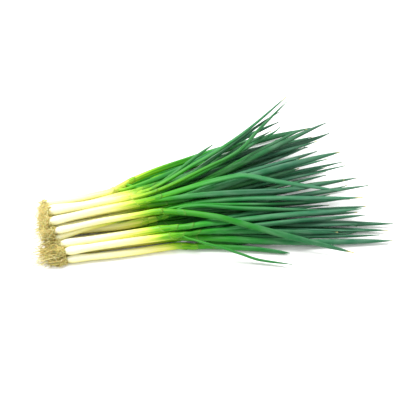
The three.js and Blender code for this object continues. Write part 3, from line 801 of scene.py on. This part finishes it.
class Shader:
    """A material of nodes on one principled surface."""

    def __init__(self, name, **sockets):
        self.material = bpy.data.materials.new(name)
        self.material.use_nodes = True
        self.tree = self.material.node_tree
        self.surface = self.tree.nodes["Principled BSDF"]
        for label, value in sockets.items():
            self.surface.inputs[label.replace("_", " ").title()].default_value = value

    def feed(self, socket, value):
        """Links a socket to what another node gives, or sets it to a plain value."""
        if isinstance(value, bpy.types.NodeSocket):
            self.tree.links.new(value, socket)
        else:
            socket.default_value = value

    def node(self, kind, settings, inputs):
        made = self.tree.nodes.new(kind)
        for label, value in settings.items():
            setattr(made, label, value)
        for label, value in inputs.items():
            self.feed(made.inputs[label], value)
        return made

    def value(self, label):
        return self.node("ShaderNodeAttribute", {"attribute_name": label}, {}).outputs["Fac"]

    def noise(self, stretch, scale, detail):
        """Noise over the strand's grain, stretched round its section and along it."""
        grain = self.node("ShaderNodeAttribute", {"attribute_name": "grain"}, {}).outputs["Vector"]
        scaled = self.node("ShaderNodeVectorMath", {"operation": "MULTIPLY"}, {0: grain, 1: stretch})
        inputs = {"Vector": scaled.outputs[0], "Scale": scale, "Detail": detail}
        return self.node("ShaderNodeTexNoise", {}, inputs).outputs["Fac"]

    def math(self, operation, a, b, clamp=False):
        settings = {"operation": operation, "use_clamp": clamp}
        return self.node("ShaderNodeMath", settings, {0: a, 1: b}).outputs[0]

    def spread(self, value, span, to_span):
        """A value moved from one span of numbers to another, and held inside it."""
        inputs = {"Value": value, "From Min": span[0], "From Max": span[1]}
        inputs.update({"To Min": to_span[0], "To Max": to_span[1]})
        return self.node("ShaderNodeMapRange", {}, inputs).outputs[0]

    def blend(self, share, a, b, kind="MIX"):
        settings = {"data_type": "RGBA", "blend_type": kind}
        return self.node("ShaderNodeMix", settings, {0: share, 6: a, 7: b}).outputs[2]

    def ramp(self, share, stops):
        made = self.node("ShaderNodeValToRGB", {}, {"Fac": share})
        points = made.color_ramp.elements
        points[0].position, points[0].color = stops[0][0], (*stops[0][1], 1)
        points[1].position, points[1].color = stops[-1][0], (*stops[-1][1], 1)
        for position, colour in stops[1:-1]:
            points.new(position).color = (*colour, 1)
        return made.outputs["Color"]

    def set(self, label, socket):
        self.tree.links.new(socket, self.surface.inputs[label])

    def bump(self, height, strength):
        made = self.node("ShaderNodeBump", {}, {"Height": height})
        made.inputs["Strength"].default_value = strength
        made.inputs["Distance"].default_value = BUMP_DEPTH
        self.set("Normal", made.outputs[0])


# The colours along a plant, by how far it has turned from the white base to the green tips. PALEST is before
# the white ends.
PALEST = -0.15
PLANT_COLOURS = [
    (PALEST, (0.95, 0.93, 0.74)),
    (0.00, (0.92, 0.89, 0.58)),
    (0.08, (0.87, 0.85, 0.40)),
    (0.125, (0.78, 0.80, 0.18)),
    (0.160, (0.50, 0.66, 0.05)),
    (0.195, (0.19, 0.47, 0.006)),
    (0.25, (0.038, 0.28, 0.001)),
    (0.36, (0.011, 0.20, 0.010)),
    (0.52, (0.012, 0.145, 0.036)),
    (0.75, (0.017, 0.112, 0.054)),
    (1.00, (0.034, 0.150, 0.068)),
]
# Painted shade: the yellow olive that the pale parts of stalks turn to where they lie in shade.
PAINTED_SHADE_OLIVE = (0.74, 0.68, 0.10, 1)
VEIN = (0.70, 0.68, 0.16, 1)
WAX = (0.42, 0.55, 0.45, 1)
STRAW = (0.66, 0.55, 0.22, 1)
ROOT_COLOURS = [
    (0.00, (0.42, 0.32, 0.06)),
    (0.40, (0.69, 0.59, 0.18)),
    (1.00, (0.86, 0.80, 0.44)),
]
# The colour of the dark specks among the roots.
DARK_SPECKS = (0.10, 0.07, 0.02, 1)
LIGHT_UNDER_SKIN = (1.0, 0.9, 0.45)
BUMP_DEPTH = 0.0002

# What noise gives lies mostly in this span. The other spans are of the share that a plant has turned green:
# where its white part ends, where its green tones and its waxy bloom set in.
NOISE = (0.3, 0.7)
WHITE_ENDS = (0.12, 0.2)
GREEN_SETS_IN = (0.15, 0.35)
WAX_SETS_IN = (0.22, 0.45)


def plant_material(name, roughness, subsurface, shine, bloom, veined):
    """Stalk or leaf: white to green along its length, streaked, with painted shade on its pale parts, a waxy
    bloom and dry ends.
    """
    made = Shader(name, roughness=roughness, subsurface_weight=subsurface, subsurface_scale=0.004)
    made.surface.inputs["Subsurface Radius"].default_value = LIGHT_UNDER_SKIN
    made.surface.inputs["Specular IOR Level"].default_value = shine
    streaks = made.noise((1, 1, 0.35), 3.2, 3.0)
    lines = made.noise((1, 1, 0.12), 11.0, 2.0)
    patches = made.noise((0.3, 0.3, 2.5), 2.0, 3.0)
    turned = made.value("green")
    greenness = made.spread(turned, GREEN_SETS_IN, (0, 1))
    paleness = made.spread(turned, WHITE_ENDS, (1, 0))

    shifted = made.math("ADD", turned, made.spread(streaks, NOISE, (-0.035, 0.035)))
    stops = [((share - PALEST) / (1 - PALEST), shade) for share, shade in PLANT_COLOURS]
    colour = made.ramp(made.spread(shifted, (PALEST, 1), (0, 1)), stops)
    # Painted shade: where the "deep" value is high, the pale parts are blended towards the yellow olive of
    # stalks in shade.
    colour = made.blend(made.math("MULTIPLY", made.value("deep"), paleness), colour, PAINTED_SHADE_OLIVE)
    veins = made.math("MULTIPLY", made.spread(lines, (0.34, 0.46), (veined, 0)), paleness)
    colour = made.blend(veins, colour, VEIN)

    line_light = made.spread(lines, NOISE, (0.86, 1.12))
    tone_light = made.spread(made.value("tone"), (-1, 1), (0.6, 1.4))
    light = made.math("MULTIPLY", line_light, tone_light)
    lit = made.node("ShaderNodeCombineColor", {}, {"Red": light, "Green": light, "Blue": light})
    shaded = made.blend(1.0, colour, lit.outputs[0], "MULTIPLY")
    colour = made.blend(greenness, colour, shaded)

    outerness = made.spread(turned, WAX_SETS_IN, (0.1, 1))
    waxy = made.math("MULTIPLY", made.spread(patches, (0.35, 0.75), (0, bloom)), outerness)
    colour = made.blend(waxy, colour, WAX)
    dryness = made.spread(lines, (0.3, 0.6), (0.6, 1.2))
    dry = made.math("MULTIPLY", made.value("dry"), dryness, clamp=True)
    made.set("Base Color", made.blend(dry, colour, STRAW))
    made.set("Roughness", made.spread(patches, NOISE, (roughness - 0.06, roughness + 0.1)))
    made.bump(lines, 0.35)
    return made.material


def root_material():
    """Roots: straw to cream threads, which differ from each other and in patches, with dark specks."""
    made = Shader("fine_roots", roughness=0.75, subsurface_weight=0.15, subsurface_scale=0.002)
    patches = made.noise((0.4, 0.4, 3.0), 3.0, 3.0)
    specks = made.noise((0.6, 0.6, 9.0), 2.0, 1.0)
    thread_shade = made.spread(made.value("tone"), (-1, 1), (0, 0.55))
    shade = made.math("ADD", thread_shade, made.spread(patches, NOISE, (0, 0.45)))
    colour = made.ramp(shade, ROOT_COLOURS)
    made.set("Base Color", made.blend(made.spread(specks, (0.32, 0.39), (0.85, 0)), colour, DARK_SPECKS))
    made.bump(patches, 0.4)
    return made.material


def numbered(name, index):
    """A piece's or node's name with its number, which counts from 01."""
    return f"{name}_{index + 1:02d}"


def choose_looks(plant, rng):
    """Where the plant's white ends, how dark its leaves are, and how much painted shade its pale parts get.
    """
    layer, slot = plant.place
    at_side = slot in (0, LAYER_COUNTS[layer] - 1)
    far = float(np.clip(plant.base[1], *PALER_FAR_PAINTED_LIGHT_LIMITS))
    # Painted light and shade: further back stays white longer, nearer turns green sooner, on top of the
    # random wander.
    plant.pale = rng.uniform(-PALE_WANDER, PALE_WANDER) + PALER_FAR_PAINTED_LIGHT * far
    plant.tone = rng.uniform(-PLANT_TONE, PLANT_TONE)
    # Painted shade by layer, less at a layer's ends, where more light falls.
    plant.deep = PAINTED_SHADE_BY_LAYER[layer] * (PAINTED_SHADE_AT_SIDES if at_side else 1)


def add_plants(plants, rng):
    """Each plant's stalk and its leaves, as two pieces."""
    stalk_skin = plant_material(
        "fine_stalks", roughness=0.34, subsurface=0.4, shine=0.3, bloom=0.03, veined=0.5)
    leaf_skin = plant_material(
        "fine_leaves", roughness=0.44, subsurface=0.08, shine=0.22, bloom=0.15, veined=0.2)
    for i, plant in enumerate(plants):
        choose_looks(plant, rng)
        stalk = Skin()
        add_stalk(stalk, plant, rng)
        stalk.make(numbered("stalk_fine", i), stalk_skin, [numbered("stalk", i)])
        leaves = Skin()
        for strand in plant.strands:
            add_leaf(leaves, strand, rng)
            if strand.trunk:
                sheath_end = strand.leaf.fork + rng.uniform(*SHEATH_PAST_FORK)
                add_sleeve(leaves, strand.trunk, sheath_end, rng)
        leaves.make(numbered("leaves_fine", i), leaf_skin, [numbered("leaves", i)])


def add_roots(plants, rng):
    """The root mats, each with the tufts of the plants that share it."""
    skin = root_material()
    taken = 0
    for i, count in enumerate(sum(MAT_COUNTS, [])):
        mat = Skin()
        for plant in plants[taken:taken + count]:
            add_threads(mat, plant, THREADS_A_TUFT, THREAD_LENGTH, THREAD_RADIUS, rng)
            add_threads(mat, plant, HAIRS_A_TUFT, HAIR_LENGTH, HAIR_RADIUS, rng)
        mat.make(numbered("root_fine", i), skin, [numbered("root_mat", i)])
        taken += count


def build_bunch():
    plants, strands = lay_out()
    settle(strands)
    rng = np.random.default_rng(LOOK_SEED)
    add_plants(plants, rng)
    add_roots(plants, rng)


# The room, in metres: a white table, soft light from above, behind and the left, and the camera.
FLOOR_SIZE = 6.0
FLOOR_DROP = 0.0002
FLOOR_COLOUR = (0.93, 0.93, 0.92, 1)
SKY_STRENGTH = 0.85
KEY_PLACE = (-0.45, 0.8, 1.7)
KEY_SIZE = 1.1
KEY_POWER = 48
FILL_PLACE = (0.5, -1.3, 1.3)
FILL_SIZE = 1.4
FILL_POWER = 4
CAMERA_AZIMUTH = math.radians(-12)
CAMERA_ELEVATION = math.radians(45)
CAMERA_DISTANCE = 5.0
CAMERA_TARGET = Vector((-0.0008, 0.0103, 0))
FRAME_WIDTH = 0.48
SENSOR = 36


def set_camera():
    """The camera looks at the table from above, a little from the left, through a long lens."""
    data = bpy.data.cameras.new("camera")
    data.sensor_width = SENSOR
    data.lens = SENSOR * CAMERA_DISTANCE / FRAME_WIDTH
    data.clip_end = 4 * CAMERA_DISTANCE
    camera = bpy.data.objects.new("camera", data)
    level = math.cos(CAMERA_ELEVATION)
    back = Vector((math.sin(CAMERA_AZIMUTH) * level, -math.cos(CAMERA_AZIMUTH) * level,
                   math.sin(CAMERA_ELEVATION)))
    camera.location = CAMERA_TARGET + back * CAMERA_DISTANCE
    camera.rotation_euler = (-back).to_track_quat("-Z", "Y").to_euler()
    bpy.context.scene.collection.objects.link(camera)
    bpy.context.scene.camera = camera


def add_floor():
    half = FLOOR_SIZE / 2
    mesh = bpy.data.meshes.new("table_top")
    corners = [(x * half, y * half, -FLOOR_DROP) for x, y in ((-1, -1), (1, -1), (1, 1), (-1, 1))]
    mesh.from_pydata(corners, [], [(0, 1, 2, 3)])
    made = Shader("white_table", roughness=0.6)
    made.surface.inputs["Base Color"].default_value = FLOOR_COLOUR
    mesh.materials.append(made.material)
    floor = bpy.data.objects.new("table_top", mesh)
    bpy.context.scene.collection.objects.link(floor)


def add_light(name, place, size, power):
    data = bpy.data.lights.new(name, "AREA")
    data.shape = "DISK"
    data.size = size
    data.energy = power
    light = bpy.data.objects.new(name, data)
    light.location = place
    light.rotation_euler = Vector(place).to_track_quat("Z", "Y").to_euler()
    bpy.context.scene.collection.objects.link(light)


def light_room():
    world = bpy.data.worlds.new("room")
    world.use_nodes = True
    background = world.node_tree.nodes["Background"]
    background.inputs["Color"].default_value = (1, 1, 1, 1)
    background.inputs["Strength"].default_value = SKY_STRENGTH
    bpy.context.scene.world = world
    add_light("key", KEY_PLACE, KEY_SIZE, KEY_POWER)
    add_light("fill", FILL_PLACE, FILL_SIZE, FILL_POWER)
    bpy.context.scene.view_settings.view_transform = "Standard"


build_bunch()
set_camera()
add_floor()
light_room()
